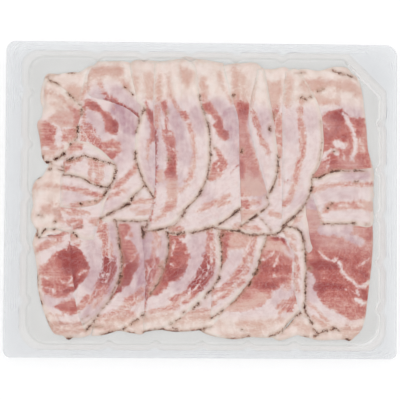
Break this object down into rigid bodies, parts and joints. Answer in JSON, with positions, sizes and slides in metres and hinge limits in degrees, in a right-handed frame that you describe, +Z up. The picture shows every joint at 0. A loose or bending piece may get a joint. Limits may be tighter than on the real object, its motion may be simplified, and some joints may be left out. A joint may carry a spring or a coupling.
{
  "type": "pack of sliced pancetta",
  "caption": "Flat sealed tray of thin cured pork belly slices, draped over one another in two rows, in a clear ribbed tray under clear film.",
  "frame": {"origin": "centre of the tray's underside, on the surface it lies on", "axes": "+Z up out of the film, +X along the tray's longer side, +Y towards the side with the cut peel corner"},
  "size_m": [0.25, 0.201, 0.0126],
  "materials": {
    "clear_tray": "clear thermoformed sheet",
    "cured_meat": "moist lean and fat",
    "clear_film": "clear glossy film"
  },
  "bodies": {
    "root": {"tray": "clear_tray", "front_slice_8": "cured_meat", "right_slice_2": "cured_meat", "front_slice_1": "cured_meat", "front_slice_3": "cured_meat", "front_slice_6": "cured_meat", "front_slice_7": "cured_meat", "front_slice_5": "cured_meat", "front_slice_4": "cured_meat", "front_slice_2": "cured_meat", "right_slice_3": "cured_meat", "front_slice_9": "cured_meat", "back_slice_13": "cured_meat", "right_slice_1": "cured_meat", "back_slice_11": "cured_meat", "back_slice_9": "cured_meat", "back_slice_10": "cured_meat", "back_slice_12": "cured_meat", "back_slice_8": "cured_meat", "back_slice_1": "cured_meat", "left_slice_4": "cured_meat", "left_slice_3": "cured_meat", "back_slice_6": "cured_meat", "back_slice_3": "cured_meat", "back_slice_4": "cured_meat", "back_slice_5": "cured_meat", "back_slice_7": "cured_meat", "left_slice_2": "cured_meat", "left_slice_1": "cured_meat", "back_slice_2": "cured_meat", "film": "clear_film"}
  },
  "joints": []
}
